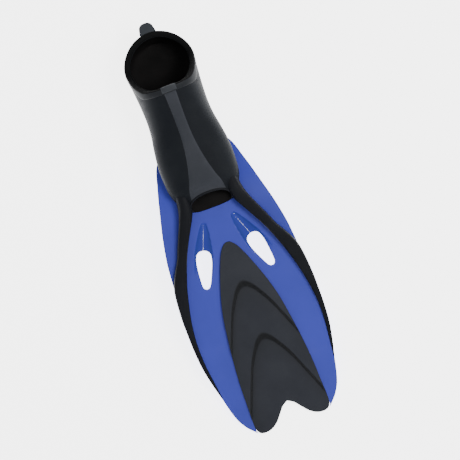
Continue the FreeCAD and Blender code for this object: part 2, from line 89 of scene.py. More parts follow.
def reader(points, count=500):
    """A function that gives the smooth curve's second value at any first one."""
    line = curve_through([(first, second, 0.0) for first, second in points], count)

    def read(at):
        if at <= line[0].x:
            return line[0].y
        if at >= line[-1].x:
            return line[-1].y
        low, high = 0, len(line) - 1
        while high - low > 1:
            middle = (low + high) // 2
            if line[middle].x <= at:
                low = middle
            else:
                high = middle
        before, after = line[low], line[high]
        return before.y + (after.y - before.y) * (at - before.x) / max(after.x - before.x, 1e-9)
    return read


def ease(share):
    """A smooth step from 0 to 1, level at both ends."""
    share = min(max(share, 0.0), 1.0)
    return share * share * (3 - 2 * share)


def spread(*stretches):
    """Stations along a length, with a count of its own for each stretch (start, end, count)."""
    stations = []
    for start, end, count in stretches:
        stations += [start + (end - start) * step / count for step in range(count)]
    return stations + [stretches[-1][1]]


def add_grid(name, across, along, place):
    """A grid whose corners are set down by place(column, row)."""
    bpy.ops.object.select_all(action="DESELECT")
    bpy.ops.mesh.primitive_grid_add(x_subdivisions=across - 1, y_subdivisions=along - 1, size=1.0)
    grid = bpy.context.object
    grid.name = name
    for vertex in grid.data.vertices:
        column = round((vertex.co.x + 0.5) * (across - 1))
        row = round((vertex.co.y + 0.5) * (along - 1))
        vertex.co = place(column, row)
    return grid


def pick(piece):
    """Make this the one selected piece."""
    bpy.ops.object.select_all(action="DESELECT")
    piece.select_set(True)
    bpy.context.view_layer.objects.active = piece


def edit(piece):
    """Open a piece for editing, with all of it selected."""
    pick(piece)
    bpy.ops.object.mode_set(mode="EDIT")
    bpy.ops.mesh.select_all(action="SELECT")


def close_mesh(piece, gap=0.00001, open_ends=True):
    """Join what meets, fill the open ends and turn the faces outwards."""
    edit(piece)
    bpy.ops.mesh.remove_doubles(threshold=gap)
    if open_ends:
        bpy.ops.mesh.select_mode(type="EDGE")
        bpy.ops.mesh.select_all(action="DESELECT")
        bpy.ops.mesh.select_non_manifold()
        bpy.ops.mesh.fill()
        bpy.ops.mesh.select_mode(type="VERT")
    bpy.ops.mesh.select_all(action="SELECT")
    bpy.ops.mesh.normals_make_consistent(inside=False)
    bpy.ops.object.mode_set(mode="OBJECT")


def apply_modifier(piece, kind, **settings):
    pick(piece)
    modifier = piece.modifiers.new(kind.lower(), kind)
    for key, value in settings.items():
        setattr(modifier, key, value)
    bpy.ops.object.modifier_apply(modifier=modifier.name)


def thicken(piece, lower):
    """Extrude a sheet straight down, each corner to the height that lower(x, y) gives."""
    edit(piece)
    bpy.ops.mesh.extrude_region_move()
    bpy.ops.object.mode_set(mode="OBJECT")
    for vertex in piece.data.vertices:
        if vertex.select:
            vertex.co.z = lower(vertex.co.x, vertex.co.y)
    edit(piece)
    bpy.ops.mesh.normals_make_consistent(inside=False)
    bpy.ops.object.mode_set(mode="OBJECT")


def punch(name, outline, low, high):
    """An upright solid with the given plan outline, for cutting."""
    bpy.ops.object.select_all(action="DESELECT")
    bpy.ops.mesh.primitive_circle_add(vertices=len(outline), radius=1.0, fill_type="NGON")
    solid = bpy.context.object
    solid.name = name
    for vertex, point in zip(solid.data.vertices, outline):
        vertex.co = Vector((point[0], point[1], low))
    edit(solid)
    bpy.ops.mesh.extrude_region_move(TRANSFORM_OT_translate={"value": (0, 0, high - low)})
    bpy.ops.mesh.select_all(action="SELECT")
    bpy.ops.mesh.normals_make_consistent(inside=False)
    bpy.ops.object.mode_set(mode="OBJECT")
    return solid


def cut(piece, tool, operation="DIFFERENCE"):
    apply_modifier(piece, "BOOLEAN", object=tool, operation=operation, solver="EXACT")
    bpy.data.objects.remove(tool)


def settle(piece, to_row):
    """Take a piece from its own frame to the row frame, point by point."""
    for vertex in piece.data.vertices:
        vertex.co = to_row(vertex.co)


def hand_in(piece, node, slot, *materials, angle=35.0):
    """Smooth shading, materials, and the ties to the node that the piece stands for."""
    pick(piece)
    bpy.ops.object.shade_smooth_by_angle(angle=math.radians(angle))
    if not piece.data.materials:
        for material in materials:
            piece.data.materials.append(material)
    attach(piece, "root")
    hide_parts(node)


def on_plate(point):
    """From the flat plate to the row frame: straight to the tip, and curved down under the foot."""
    x, along, height = point
    if along >= bend_start:
        return blade_frame @ Vector(point)
    angle = min((bend_start - along) / bend_radius, bend_angle)
    past = max(bend_start - bend_radius * bend_angle - along, 0.0)
    centre = Vector((x, bend_start, -bend_radius))
    outward = Vector((0, -math.sin(angle), math.cos(angle)))
    onward = Vector((0, -math.cos(angle), -math.sin(angle)))
    return blade_frame @ (centre + outward * (bend_radius + height) + onward * past)


blade_edge = reader([(-0.150, 0.0290), (-0.115, 0.0295), (-0.100, 0.0340), (-0.082, 0.0540), (-0.050, 0.0650),
                     (-0.0165, 0.0740), (0.019, 0.0832), (0.053, 0.0896), (0.077, 0.0920),
                     (0.100, 0.0933), (0.155, 0.0953), (0.200, 0.0930), (0.232, 0.0895), (0.262, 0.0848),
                     (0.295, 0.0765), (0.312, 0.0675), (0.3215, 0.0590), (0.3262, 0.0545)])
blade_rim = 0.0003       # the least that is left of the blade beside the panel
panel_start = 0.053      # the panel's point, from the root
panel_lap = 0.0006       # the blade runs on this far under the panel
panel_edge = reader([(panel_start, 0.0), (0.0536, 0.0036), (0.0560, 0.0070), (0.0655, 0.0135), (0.094, 0.0254),
                     (0.124, 0.0355), (0.152, 0.0425), (0.181, 0.0470), (0.210, 0.0508), (0.250, 0.0543),
                     (0.288, 0.0555), (0.3262, 0.0562)])
plate_top = reader([(-0.2, root_thickness), (0.0, root_thickness), (0.053, root_thickness),
                    (0.116, 0.0038), (0.20, 0.0032), (0.35, tip_thickness)])
vent_head, vent_tip = Vector((0.0356, 0.0538)), Vector((0.0498, 0.1074))
scoop_point = Vector((0.0205, 0.0150))
scoop_depth = 0.0042
scoop_half = 0.0134      # half width, where it is widest
scoop_wall = 0.0008      # height and width of the step round it
scoop_round = 0.26       # how round its bottom is, against a sharp crease
scoop_aim = 0.12         # it points at this share of the vent's length
scoop_lead_in = 0.12     # shares of its own length over which it starts and runs out
scoop_run_out = 0.75
vent_half = reader([(0.0, 0.0), (0.012, 0.0042), (0.05, 0.0078), (0.11, 0.0099), (0.20, 0.0108),
                    (0.33, 0.0108), (0.55, 0.0093), (0.75, 0.0074), (0.88, 0.0059), (0.95, 0.0045),
                    (0.985, 0.0026), (1.0, 0.0)])


def scoop(x, along):
    """Depth of the spoon-shaped hollow that leads the water into the vent, and how much painted shade it gets,
    most towards its walls.
    """
    axis = vent_head + (vent_tip - vent_head) * scoop_aim - scoop_point
    away = Vector((x, along)) - scoop_point
    share = away.dot(axis) / axis.length_squared
    side = abs(away.x * axis.y - away.y * axis.x) / axis.length
    if not 0.0 < share < 1.0 + scoop_run_out:
        return 0.0, 0.0
    half = scoop_half * min(share, 1.0) ** 0.5
    fade = 1.0 - ease((share - 1.0) / scoop_run_out)
    if side >= half:
        return 0.0, 0.0
    crease = math.sqrt(1 + scoop_round ** 2)
    groove = (crease - math.hypot(side / half, scoop_round)) / (crease - scoop_round)
    edge = ease((half - side) / scoop_wall) * ease(share / scoop_lead_in)
    painted_shade = edge * fade * (0.30 + 0.55 * (side / half) ** 3)
    return (scoop_wall * edge + (scoop_depth - scoop_wall) * min(share, 1.0) * groove) * fade, painted_shade


blade_rows = spread((-0.150, -0.082, 20), (-0.082, 0.010, 46), (0.010, panel_start, 48),
                    (panel_start, 0.0575, 9), (0.0575, 0.070, 14), (0.070, 0.105, 34), (0.105, 0.3262, 80))
blade_columns = 76


def blade_point(column, row):
    along = blade_rows[row]
    inner = 0.0
    if along > panel_start:
        inner = min(max(panel_edge(along) - panel_lap, 0.0), blade_edge(along) - blade_rim)
    x = inner + (blade_edge(along) - inner) * column / (blade_columns - 1)
    return Vector((x, along, plate_top(along) - scoop(x, along)[0]))


def vent_outline():
    axis = vent_tip - vent_head
    across = Vector((axis.y, -axis.x)).normalized()
    shares = [0.5 - 0.5 * math.cos(math.pi * step / 22) for step in range(23)]
    near = [vent_head + axis * share - across * vent_half(share) for share in shares]
    far = [vent_head + axis * share + across * vent_half(share) for share in shares[1:-1]]
    return near + list(reversed(far))


blade = add_grid("blade_moulding", blade_columns, len(blade_rows), blade_point)
# Painted shade: each scoop's colour is darkened, most towards its walls.
recess_painted_shade = blade.data.attributes.new("recess_painted_shade", "FLOAT", "POINT")
for index, vertex in enumerate(blade.data.vertices):
    recess_painted_shade.data[index].value = scoop(vertex.co.x, vertex.co.y)[1]
thicken(blade, lambda x, y: 0.0)
cut(blade, punch("vent_punch", vent_outline(), -0.01, 0.02))
apply_modifier(blade, "BEVEL", width=0.0008, segments=3, limit_method="ANGLE", angle_limit=math.radians(50))
apply_modifier(blade, "MIRROR", use_axis=(True, False, False), merge_threshold=0.0001)
settle(blade, on_plate)


def grain_group():
    """Moulded grain on Object coordinates: a fine height, slow patches and a few rubbed places."""
    group = bpy.data.node_groups.new("moulded_grain", "ShaderNodeTree")
    for label, value in (("Grain Scale", 900.0), ("Patch Scale", 30.0)):
        socket = group.interface.new_socket(label, in_out="INPUT", socket_type="NodeSocketFloat")
        socket.default_value = value
    for label in ("Height", "Patches", "Rubbed"):
        group.interface.new_socket(label, in_out="OUTPUT", socket_type="NodeSocketFloat")
    nodes, links = group.nodes, group.links
    given = nodes.new("NodeGroupInput")
    result = nodes.new("NodeGroupOutput")
    place = nodes.new("ShaderNodeTexCoord")
    rubbed_scale = 75.0
    layers = (("Height", "Grain Scale", 3.0), ("Patches", "Patch Scale", 3.0), ("Rubbed", None, 6.0))
    for label, source, detail in layers:
        noise = nodes.new("ShaderNodeTexNoise")
        noise.inputs["Detail"].default_value = detail
        links.new(place.outputs["Object"], noise.inputs["Vector"])
        if source:
            links.new(given.outputs[source], noise.inputs["Scale"])
            links.new(noise.outputs["Fac"], result.inputs[label])
        else:
            noise.inputs["Scale"].default_value = rubbed_scale
            worn = nodes.new("ShaderNodeMapRange")
            worn.inputs["From Min"].default_value = 0.58
            worn.inputs["From Max"].default_value = 0.74
            links.new(noise.outputs["Fac"], worn.inputs["Value"])
            links.new(worn.outputs["Result"], result.inputs[label])
    return group


moulded_grain = grain_group()


def moulded(name, dark, light, roughness, grain=900.0, patches=30.0, bump=0.15, specular=0.5):
    """A moulded finish: two shades drift in patches, the grain roughens it, and rubbed places shine."""
    material = bpy.data.materials.new(name)
    material.use_nodes = True
    nodes, links = material.node_tree.nodes, material.node_tree.links
    shader = nodes["Principled BSDF"]
    texture = nodes.new("ShaderNodeGroup")
    texture.node_tree = moulded_grain
    texture.inputs["Grain Scale"].default_value = grain
    texture.inputs["Patch Scale"].default_value = patches
    shades = nodes.new("ShaderNodeValToRGB")
    shades.color_ramp.elements[0].position = 0.35
    shades.color_ramp.elements[0].color = (*dark, 1)
    shades.color_ramp.elements[1].position = 0.65
    shades.color_ramp.elements[1].color = (*light, 1)
    rough = nodes.new("ShaderNodeMapRange")
    rough.inputs["From Min"].default_value = 0.3
    rough.inputs["From Max"].default_value = 0.7
    rough.inputs["To Min"].default_value = roughness[0]
    rough.inputs["To Max"].default_value = roughness[1]
    polish = nodes.new("ShaderNodeMath")
    polish.operation = "MULTIPLY_ADD"
    polish.inputs[1].default_value = -0.08
    relief = nodes.new("ShaderNodeBump")
    relief.inputs["Strength"].default_value = bump
    relief.inputs["Distance"].default_value = 0.0002
    links.new(texture.outputs["Patches"], shades.inputs["Fac"])
    links.new(shades.outputs["Color"], shader.inputs["Base Color"])
    links.new(texture.outputs["Height"], rough.inputs["Value"])
    links.new(texture.outputs["Rubbed"], polish.inputs[0])
    links.new(rough.outputs["Result"], polish.inputs[2])
    links.new(polish.outputs[0], shader.inputs["Roughness"])
    links.new(texture.outputs["Height"], relief.inputs["Height"])
    links.new(relief.outputs["Normal"], shader.inputs["Normal"])
    shader.inputs["Specular IOR Level"].default_value = specular
    return material


blue_plastic = moulded("blue_polypropylene", (0.038, 0.054, 0.47), (0.044, 0.060, 0.53), (0.38, 0.46),
                       grain=700.0, patches=14.0, bump=0.01, specular=0.35)


def shade_by(material, name, colour, roughness=0.5):
    """Blend a moulded finish towards another colour and roughness where the mesh's attribute says so."""
    nodes, links = material.node_tree.nodes, material.node_tree.links
    shader = nodes["Principled BSDF"]
    mask = nodes.new("ShaderNodeAttribute")
    mask.attribute_name = name
    blend = nodes.new("ShaderNodeMix")
    blend.data_type = "RGBA"
    blend.inputs[7].default_value = (*colour, 1)
    links.new(mask.outputs["Fac"], blend.inputs[0])
    links.new(shader.inputs["Base Color"].links[0].from_socket, blend.inputs[6])
    links.new(blend.outputs[2], shader.inputs["Base Color"])
    level = nodes.new("ShaderNodeMapRange")
    level.inputs["From Max"].default_value = 0.3
    polish = nodes.new("ShaderNodeMix")
    polish.inputs[3].default_value = roughness
    links.new(mask.outputs["Fac"], level.inputs["Value"])
    links.new(level.outputs["Result"], polish.inputs[0])
    links.new(shader.inputs["Roughness"].links[0].from_socket, polish.inputs[2])
    links.new(polish.outputs[0], shader.inputs["Roughness"])


# The scoops are painted a darker blue as shade, most towards their walls, and made glossier.
shade_by(blue_plastic, "recess_painted_shade", (0.012, 0.040, 0.20), roughness=0.12)
hand_in(blade, "blade", "blue_plastic", blue_plastic)

# ---------------------------------------------------------------- centre panel
# The soft centre panel is a grey rubber moulded into a slot in the blade. Its three crowned fields step
# down towards the tip at two rounded chevrons, and it ends in the blade's fishtail.
field_heights = (0.0086, 0.0061, 0.0037)
chevron_points = (0.1110, 0.1915)
ramp_length = 0.012
panel_half = 0.0565
panel_crown = 0.0012
panel_under = -0.0003    # its underside, just through the blade's
panel_spread = 0.126     # across the sheet that the outline is cut from
nose_proud = 0.0004      # the panel's point rises from here to the first field
nose_lead, nose_rise = 0.004, 0.020
nose_end = 0.10
chevron_leg = reader([(0.0, 0.0), (0.003, 0.0006), (0.006, 0.0024), (0.013, 0.0092), (0.028, 0.0345),
                      (0.040, 0.0635), (0.050, 0.0890), (0.066, 0.1330)])
panel_lines = spread((-0.030, 0.112, 60), (0.112, 0.130, 18), (0.130, 0.193, 26), (0.193, 0.211, 18),
                     (0.211, 0.345, 46))
panel_columns = 64


def field_height(start):
    """Height of the panel along the V-shaped line that crosses its middle at this station."""
    height = field_heights[0]
    for number, point in enumerate(chevron_points):
        drop = field_heights[number] - field_heights[number + 1]
        height -= drop * ease((start - point) / ramp_length)
    return height


def painted_ramp_shade(share):
    """How much painted shade a chevron's slope gets at this share of its length: dark and a little polished on
    the slope, with a fainter painted shade beyond its foot.
    """
    foot_shade = 0.45 * math.exp(-(share - 0.9) / 1.2) if share > 0.9 else 0.0
    return max(ease((share + 0.1) / 0.35) * (1 - ease((share - 0.75) / 0.35)), foot_shade)


def panel_point(column, row):
    start = panel_lines[row]
    x = (column / (panel_columns - 1) - 0.5) * panel_spread
    along = start + chevron_leg(abs(x))
    edge_run = max(along - panel_start, 0.0)
    rise = ease((edge_run + nose_lead) / nose_rise)
    top = field_height(start) - panel_crown * (x / panel_half) ** 2
    level = root_thickness + nose_proud
    return Vector((x, along, level + (top - level) * rise if start < nose_end else top))


def panel_outline():
    """The panel's closed outline: up one side from the point, and round the two lobes of the fishtail."""
    side = [(0.0, panel_start), (0.0048, 0.0543), (0.0135, 0.0655), (0.0254, 0.094), (0.0355, 0.124),
            (0.0425, 0.152), (0.0470, 0.181), (0.0508, 0.210), (0.0543, 0.250), (0.0555, 0.288),
            (0.0562, 0.3150), (0.0548, 0.3225)]
    tail = [(0.0548, 0.3225), (0.0510, 0.3272), (0.0440, 0.3290), (0.0340, 0.3272), (0.0240, 0.3205),
            (0.0155, 0.3105), (0.0080, 0.3015), (0.0, 0.2965)]
    right = curve_through([(x, y, 0.0) for x, y in side], 90)
    right += curve_through([(x, y, 0.0) for x, y in tail], 40)[1:]
    return right + [Vector((-point.x, point.y, 0.0)) for point in reversed(right[1:-1])]


panel = add_grid("centre_panel_moulding", panel_columns, len(panel_lines), panel_point)
# Painted shade: each chevron's slope is darkened in the panel's colour, fading beyond its foot.
band = panel.data.attributes.new("ramp_painted_shade", "FLOAT", "POINT")
for index, vertex in enumerate(panel.data.vertices):
    start = vertex.co.y - chevron_leg(abs(vertex.co.x))
    band.data[index].value = max(painted_ramp_shade((start - point) / ramp_length) for point in chevron_points)
thicken(panel, lambda x, y: panel_under)
cut(panel, punch("panel_punch", panel_outline(), -0.01, 0.03), "INTERSECT")
apply_modifier(panel, "BEVEL", width=0.0007, segments=2, limit_method="ANGLE", angle_limit=math.radians(50))
settle(panel, on_plate)
grey_rubber = moulded("grey_panel_rubber", (0.018, 0.021, 0.030), (0.025, 0.028, 0.038), (0.50, 0.66),
                      grain=1400.0, patches=22.0, bump=0.2, specular=0.3)
# The chevrons' slopes are painted near black as shade, and made a little smoother.
shade_by(grey_rubber, "ramp_painted_shade", (0.004, 0.005, 0.007))
hand_in(panel, "centre_panel", "grey_panel", grey_rubber)

# ---------------------------------------------------------------- side rails
# A rubber rail is moulded over each edge of the blade. It starts beside the toe opening, runs outward
# across the wing to the edge at the blade's widest, and thins away before the tip.
rail_inner = reader([(-0.024, 0.0262), (-0.008, 0.0282), (0.006, 0.0338), (0.021, 0.0430), (0.036, 0.0513),
                     (0.052, 0.0590), (0.066, 0.0648), (0.082, 0.0705), (0.098, 0.0758), (0.134, 0.0846),
                     (0.158, 0.0885), (0.182, 0.0904), (0.210, 0.0896), (0.235, 0.0868), (0.261, 0.0838)])
rail_outer = reader([(-0.024, 0.0465), (-0.008, 0.0492), (0.006, 0.0543), (0.021, 0.0612), (0.036, 0.0679),
                     (0.052, 0.0745), (0.066, 0.0825), (0.082, 0.0905), (0.098, 0.0950), (0.134, 0.0982),
                     (0.158, 0.0984), (0.182, 0.0980), (0.210, 0.0959), (0.235, 0.0914), (0.261, 0.0852)])
rail_top = reader([(-0.024, 0.0272), (-0.014, 0.0260), (-0.004, 0.0240), (0.006, 0.0219), (0.016, 0.0203),
                   (0.036, 0.0185), (0.066, 0.0160), (0.098, 0.0138), (0.134, 0.0113),
                   (0.182, 0.0085), (0.230, 0.0054), (0.261, 0.0030)])
rail_rows = spread((-0.024, 0.110, 48), (0.110, 0.261, 36))
rail_corners = 29
rail_wrap = 0.27         # how far it reaches under the blade, against its height above


def squared(angle, half, bottom, top, shoulder, power_top, power_bottom):
    """A point of a rounded section: full below the shoulder and arched above it."""
    across, up = math.cos(angle), math.sin(angle)
    reach = top - shoulder if up > 0 else shoulder - bottom
    exponent = 2 / (power_top if up > 0 else power_bottom)
    x = half * math.copysign(abs(across) ** exponent, across)
    return x, shoulder + reach * math.copysign(abs(up) ** exponent, up)


def rail_point(side, column, row):
    along = rail_rows[row]
    inner, outer, top = rail_inner(along), rail_outer(along), rail_top(along)
    bottom = -rail_wrap * top
    fullness = 2.8 + 2.7 * ease((along + 0.014) / 0.030)
    angle = 2 * math.pi * column / (rail_corners - 1)
    x, z = squared(angle, (outer - inner) / 2, bottom, top, (top + bottom) / 2, fullness, 3.6)
    x += (inner + outer) / 2
    return Vector((side * x, along, z))


rail_rubber = moulded("rail_rubber", (0.0095, 0.0105, 0.0135), (0.0130, 0.0140, 0.0175), (0.48, 0.62),
                      grain=1100.0, patches=25.0, bump=0.2, specular=0.09)
for side, node in ((-1, "left_rail"), (1, "right_rail")):
    rail = add_grid(node + "_moulding", rail_corners, len(rail_rows), lambda c, r: rail_point(side, c, r))
    close_mesh(rail)
    settle(rail, on_plate)
    hand_in(rail, node, "dark_rubber", rail_rubber, angle=60.0)

# ---------------------------------------------------------------- foot pocket
# The foot pocket is a closed rubber shoe with walls 4 mm thick, moulded round the foot plate. It is open
# at the ankle, and its front slants back over the toe opening. The inside is left bare and matt.
wall = 0.004
heel_round = 0.045
heel_centre = -(foot_length - heel_round)
heel_half, heel_top, heel_shoulder = 0.0500, 0.0920, 0.0359
heel_fullness = 2.7
heel_lift = 0.012        # the sole turns up by this at the back of the heel
pocket_inset = 0.0002    # the skin lies this far inside the form that its trim follows
toe_foot = 0.003
lip_slope = 0.020 / 0.029
pocket_low = root_thickness - 0.0035
pocket_half = reader([(heel_centre, heel_half), (-0.186, 0.0486), (-0.1666, 0.0470), (-0.140, 0.0460),
                      (-0.119, 0.0474), (-0.099, 0.0508), (-0.078, 0.0535), (-0.058, 0.0540),
                      (-0.0319, 0.0520), (-0.0139, 0.0455), (-0.0041, 0.0375), (toe_foot, 0.0310)])
pocket_top = reader([(heel_centre, heel_top), (-0.186, 0.0890), (-0.1666, 0.0840), (-0.140, 0.0700),
                     (-0.099, 0.0575), (-0.058, 0.0470), (-0.0319, 0.0400), (-0.0139, 0.0350),
                     (-0.0041, 0.0315), (toe_foot, 0.0290)])
pocket_shoulder = reader([(heel_centre, heel_shoulder), (-0.1666, 0.030), (-0.140, 0.027), (-0.099, 0.023),
                          (-0.058, 0.018), (-0.0319, 0.015), (-0.0139, 0.013), (toe_foot, 0.012)])
pocket_slant = reader([(heel_centre, 0.0), (-0.070, 0.0), (-0.058, 0.01), (-0.0319, 0.15), (-0.0139, 0.5),
                       (-0.0041, 0.8), (toe_foot, 1.0)])


def section_at(station, grow):
    """Half width, bottom, top, shoulder and fullness of the pocket's section at a station."""
    if station < heel_centre:
        share = min((heel_centre - station) / (heel_round + grow), 1.0)
        turn = math.sqrt(max(1.0 - share * share, 0.0))
        bottom = pocket_low + heel_lift * (1 - turn) - grow
        return (heel_half + grow) * turn, bottom, heel_top + grow, heel_shoulder, heel_fullness
    fullness = heel_fullness - 0.4 * ease((station - heel_centre) / 0.04)
    return (pocket_half(station) + grow, pocket_low - grow, pocket_top(station) + grow,
            pocket_shoulder(station), fullness)


def skin(station, angle, grow=0.0):
    """A point of the pocket's skin, grown outwards, in the foot frame."""
    half, bottom, top, shoulder, fullness = section_at(station, grow)
    x, z = squared(angle, half, bottom, top, shoulder, fullness, 3.4)
    return Vector((x, station - z * lip_slope * pocket_slant(station), z))


def top_skin(x, station, grow=0.0):
    """The point of the upper skin at this distance from the centre line."""
    half, bottom, top, shoulder, fullness = section_at(station, grow)
    angle = math.acos(min(abs(x) / half, 1.0) ** (fullness / 2))
    point = skin(station, angle, grow)
    return Vector((math.copysign(point.x, x), point.y, point.z))


def rim_line(lowered):
    """The ankle rim seen from the side, or a line lowered by a share of the collar's band."""
    back, front = -foot_length, -0.174
    drop = 0.011 * lowered
    return [(back - 0.030, 0.070 - drop * 0.6, 0.0), (back + 0.004, 0.064 - drop * 0.6, 0.0),
            (back + 0.038, 0.052 - drop * 0.6, 0.0), (front + 0.001 + drop * 0.5, 0.071 - drop * 0.9, 0.0),
            (front + 0.0130 + drop * 0.6, 0.091 - drop * 0.4, 0.0), (front + 0.024 + drop * 0.6, 0.114, 0.0)]


pocket_edge = reader([(y, z) for y, z, nothing in rim_line(0.25)])
pocket_stations = [heel_centre - (heel_round - pocket_inset) * math.cos(math.pi / 2 * step / 24)
                   for step in range(24)]
pocket_stations += spread((heel_centre, -0.060, 56), (-0.060, toe_foot, 30))
pocket_corners = 81


def pocket_point(column, row):
    """Round the section from one side of the ankle rim, under the sole, to the other side."""
    station = pocket_stations[row]
    half, bottom, top, shoulder, fullness = section_at(station, -pocket_inset)
    limit = pocket_edge(station)
    start = math.pi / 2
    if limit < top:
        start = math.asin(((limit - shoulder) / (top - shoulder)) ** (fullness / 2))
    angle = start - (math.pi + 2 * start) * column / (pocket_corners - 1)
    return skin(station, angle, -pocket_inset)


pocket = add_grid("foot_pocket_moulding", pocket_corners, len(pocket_stations), pocket_point)
edit(pocket)
bpy.ops.mesh.remove_doubles(threshold=0.00002)
bpy.ops.mesh.normals_make_consistent(inside=False)
bpy.ops.object.mode_set(mode="OBJECT")
settle(pocket, lambda point: foot_frame @ point)
pocket_rubber = moulded("pocket_rubber", (0.0085, 0.0105, 0.0140), (0.0120, 0.0145, 0.0185), (0.55, 0.68),
                        grain=1200.0, patches=28.0, bump=0.22, specular=0.12)
bare_lining = moulded("bare_lining", (0.0110, 0.0105, 0.0105), (0.0150, 0.0140, 0.0140), (0.85, 0.98),
                      grain=800.0, patches=40.0, bump=0.3, specular=0.02)
pocket.data.materials.append(pocket_rubber)
pocket.data.materials.append(bare_lining)
apply_modifier(pocket, "SOLIDIFY", thickness=wall, offset=-1.0, use_rim=True, use_even_offset=False,
               material_offset=1, material_offset_rim=1)
hand_in(pocket, "foot_pocket", "pocket_rubber", angle=50.0)

# ---------------------------------------------------------------- ankle collar
# A softer rubber band rolls over the ankle rim and stands a little proud of the pocket, down to a seam. The
# inside of its roll is painted near black as shade, all but one thin line along the inner lip, which keeps the
# lighter rubber as a painted highlight.
collar_half = 90


def ankle_loop(lowered, grow):
    """One closed line round the ankle, from the back of the heel, at a share of the band's depth."""
    side = []
    for point in curve_through(rim_line(lowered), 700):
        half, bottom, top, shoulder, fullness = section_at(point.x, grow)
        if half <= 0.0 or point.x < heel_centre - heel_round - grow or point.y > top:
            continue
        lift = (point.y - shoulder) / (top - shoulder)
        side.append(Vector((half * (1 - lift ** fullness) ** (1 / fullness), point.x, point.y)))
    side[0].x = 0.0
    side[-1].x = 0.0
    side = curve_through([tuple(point) for point in side], collar_half)
    return side + [Vector((-point.x, point.y, point.z)) for point in reversed(side[:-1])]


collar_profile = [(0.70, -0.0042), (0.45, -0.0052), (0.28, -0.0064), (0.16, -0.0068), (0.06, -0.0064),
                  (0.0, -0.0054), (-0.06, -0.0036), (-0.09, -0.0016), (-0.08, -0.0002), (-0.03, 0.0008),
                  (0.08, 0.0013), (0.30, 0.0014), (0.60, 0.0013), (0.88, 0.0012), (0.97, 0.0009),
                  (1.0, 0.0002), (1.0, -0.0010)]
lip_highlight_column, collar_turn = 3, 10
collar_loops = [ankle_loop(lowered, grow) for lowered, grow in collar_profile]
collar_loops.append(collar_loops[0])
collar = add_grid("ankle_collar_moulding", len(collar_loops), len(collar_loops[0]),
                  lambda column, row: collar_loops[column][row])
# Painted shade and highlight: the inner columns of the roll take the near-black rubber, except one column
# along the inner lip, left light as a painted highlight.
for polygon in collar.data.polygons:
    column = polygon.index % (len(collar_loops) - 1)
    polygon.material_index = 1 if column < collar_turn and column != lip_highlight_column else 0
close_mesh(collar, 0.00003, open_ends=False)
settle(collar, lambda point: foot_frame @ point)
collar_rubber = moulded("collar_rubber", (0.0125, 0.0145, 0.0180), (0.0165, 0.0190, 0.0230), (0.48, 0.60),
                        grain=1200.0, patches=28.0, bump=0.18, specular=0.18)
# Near-black painted shade for the inside of the roll.
collar_painted_shade = moulded("collar_painted_shade", (0.0028, 0.0030, 0.0034), (0.0045, 0.0048, 0.0054), (0.60, 0.74),
                        grain=1200.0, patches=28.0, bump=0.2, specular=0.10)
hand_in(collar, "ankle_collar", "collar_rubber", collar_rubber, collar_painted_shade, angle=60.0)

# ---------------------------------------------------------------- instep panel
# A finer-grained grey rubber skin runs down the instep, narrow at the ankle and flared at the toes.
instep_half = reader([(-0.175, 0.0100), (-0.150, 0.0088), (-0.120, 0.0082), (-0.095, 0.0088), (-0.075, 0.0112),
                      (-0.055, 0.0150), (-0.035, 0.0200), (-0.018, 0.0245), (toe_foot, 0.0275)])
instep_rows = spread((-0.1570, toe_foot + 0.0005, 70))
instep_columns = 25
instep_proud, instep_sunk = 0.0013, 0.0006


def instep_point(column, row):
    station = instep_rows[row]
    share = 2 * column / (instep_columns - 1) - 1
    proud = instep_proud * (1 - abs(share) ** 8) - instep_sunk
    return top_skin(share * instep_half(station), min(station, toe_foot), proud)


instep = add_grid("instep_panel_moulding", instep_columns, len(instep_rows), instep_point)
settle(instep, lambda point: foot_frame @ point)
apply_modifier(instep, "SOLIDIFY", thickness=0.0012, offset=-1.0, use_rim=True)
instep_rubber = moulded("instep_rubber", (0.034, 0.038, 0.048), (0.042, 0.046, 0.056), (0.56, 0.70),
                        grain=1600.0, patches=30.0, bump=0.25, specular=0.2)
hand_in(instep, "instep_panel", "grey_instep", instep_rubber, angle=60.0)

# ---------------------------------------------------------------- toe rim
# A slim bead is moulded round the edge of the toe opening, down to the blade on either side.
rim_profile = [(0.0, -0.0022), (0.0008, -0.0021), (0.0013, -0.0015), (0.0015, -0.0008), (0.0013, 0.0),
               (0.0008, 0.0004), (0.0, 0.0006), (-0.0006, 0.0004), (-0.0008, -0.0012)]
rim_steps = 61
rim_from, rim_sweep = math.radians(-24.0), math.radians(228.0)


def rim_point(column, row):
    ahead, grow = rim_profile[column % len(rim_profile)]
    angle = rim_from + rim_sweep * row / (rim_steps - 1)
    point = skin(toe_foot, angle, grow)
    return Vector((point.x, point.y + ahead, point.z))


toe_rim = add_grid("toe_rim_moulding", len(rim_profile) + 1, rim_steps, rim_point)
close_mesh(toe_rim)
settle(toe_rim, lambda point: foot_frame @ point)
hand_in(toe_rim, "toe_rim", "dark_rubber", rail_rubber, angle=70.0)

# ---------------------------------------------------------------- pull tab and badge
# A lighter rubber tongue at the back of the heel is for pulling the fin on. A bare raised plate sits on
# the front of the collar.
tab_level = 0.060
tab_thickness = 0.004
tab_reach, tab_half = 0.0165, 0.0085          # its free end, behind the heel
tab_root, tab_root_half = 0.0035, 0.0132      # its end inside the heel's wall
tab_round = 0.0066
bpy.ops.object.select_all(action="DESELECT")
bpy.ops.mesh.primitive_plane_add(size=1.0)
tab = bpy.context.object
tab.name = "heel_tab_moulding"
for vertex in tab.data.vertices:
    outer = vertex.co.y < 0
    half = tab_half if outer else tab_root_half
    station = -foot_length - tab_reach if outer else -foot_length + tab_root
    vertex.co = Vector((math.copysign(half, vertex.co.x), station, tab_level))
edit(tab)
bpy.ops.mesh.bevel(offset=tab_round, offset_type="OFFSET", segments=8, affect="VERTICES")
bpy.ops.mesh.extrude_region_move(TRANSFORM_OT_translate={"value": (0, 0, tab_thickness)})
